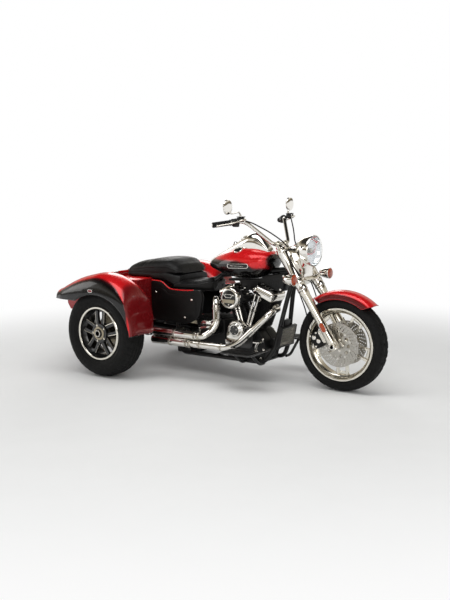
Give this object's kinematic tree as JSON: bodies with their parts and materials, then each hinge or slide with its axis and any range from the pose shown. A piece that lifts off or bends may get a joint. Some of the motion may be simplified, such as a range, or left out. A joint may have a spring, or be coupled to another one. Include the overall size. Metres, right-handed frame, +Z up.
{
  "type": "motorized trike",
  "caption": "Cruiser trike with a raked front fork, an air-cooled vee-twin engine, two seats and a lidded luggage box between wide rear fenders.",
  "frame": {"origin": "on the floor, at the middle of the whole length and width", "axes": "+X forward, +Y to the rider's left, +Z up"},
  "size_m": [2.6698, 1.408, 1.2898],
  "materials": {
    "red_paint": "gloss two-tone red fading to black",
    "black_paint": "gloss black",
    "chrome": "polished chrome plate",
    "engine_black": "wrinkle black on cast aluminium",
    "polished_alloy": "machined and polished",
    "black_alloy": "black with machined edges",
    "steel": "ground steel",
    "caliper_black": "satin black",
    "tyre_rubber": "matt black",
    "rubber": "matt black",
    "seat_vinyl": "black grained vinyl",
    "black_plastic": "satin black",
    "red_lens": "clear red"
  },
  "bodies": {
    "chassis": {"frame": "black_paint", "crankcase": "engine_black", "cylinders": "engine_black", "rocker_covers": "chrome", "pushrod_tubes": "chrome", "cam_cover": "chrome", "primary_cover": "chrome", "gearbox": "engine_black", "air_cleaner": "engine_black", "exhaust_headers": "chrome", "mufflers": "chrome", "fuel_tank": "red_paint", "tank_console": "chrome", "rider_seat": "seat_vinyl", "passenger_seat": "seat_vinyl", "side_covers": "black_paint", "rear_body": "red_paint", "rear_fender_right": "red_paint", "rear_fender_left": "red_paint", "rear_lamps": "red_lens", "rear_bumper": "chrome", "rear_axle": "black_paint", "rear_shocks": "chrome", "drive_belt": "rubber", "rear_calipers": "caliper_black", "footboards": "rubber", "foot_controls": "chrome", "oil_cooler": "engine_black", "wiring_cover": "black_plastic", "regulator": "engine_black"},
    "steering": {"fork_clamps": "chrome", "fork_tubes": "chrome", "fork_sliders": "polished_alloy", "headlamp_nacelle": "chrome", "headlamp": "chrome", "handlebar": "chrome", "hand_controls": "black_plastic", "hand_levers": "chrome", "grips": "rubber", "mirrors": "chrome", "front_turn_signals": "chrome", "front_fender": "red_paint", "front_calipers": "caliper_black", "front_axle": "steel"},
    "front_wheel": {"front_tyre": "tyre_rubber", "front_rim": "polished_alloy", "front_discs": "steel"},
    "rear_wheel_right": {"rear_tyre_right": "tyre_rubber", "rear_rim_right": "black_alloy"},
    "rear_wheel_left": {"rear_tyre_left": "tyre_rubber", "rear_rim_left": "black_alloy"},
    "trunk_lid": {"trunk_lid": "red_paint"}
  },
  "joints": [
    {"name": "steering_turn", "type": "hinge", "parent": "chassis", "child": "steering", "pos_m": [0.97431, 0, 0.2914], "axis": [-0.5519, 0, 0.8339], "range_deg": [-28, 28]},
    {"name": "front_wheel_spin", "type": "hinge", "parent": "steering", "child": "front_wheel", "pos_m": [1.016, 0, 0.319], "axis": [0, 1, 0], "continuous": true},
    {"name": "rear_wheel_right_spin", "type": "hinge", "parent": "chassis", "child": "rear_wheel_right", "pos_m": [-0.654, -0.54, 0.324], "axis": [0, 1, 0], "continuous": true},
    {"name": "rear_wheel_left_spin", "type": "hinge", "parent": "chassis", "child": "rear_wheel_left", "pos_m": [-0.654, 0.54, 0.324], "axis": [0, 1, 0], "continuous": true},
    {"name": "trunk_lid_hinge", "type": "hinge", "parent": "chassis", "child": "trunk_lid", "pos_m": [-0.798, 0, 0.731], "axis": [0, 1, 0], "range_deg": [0, 70]}
  ]
}
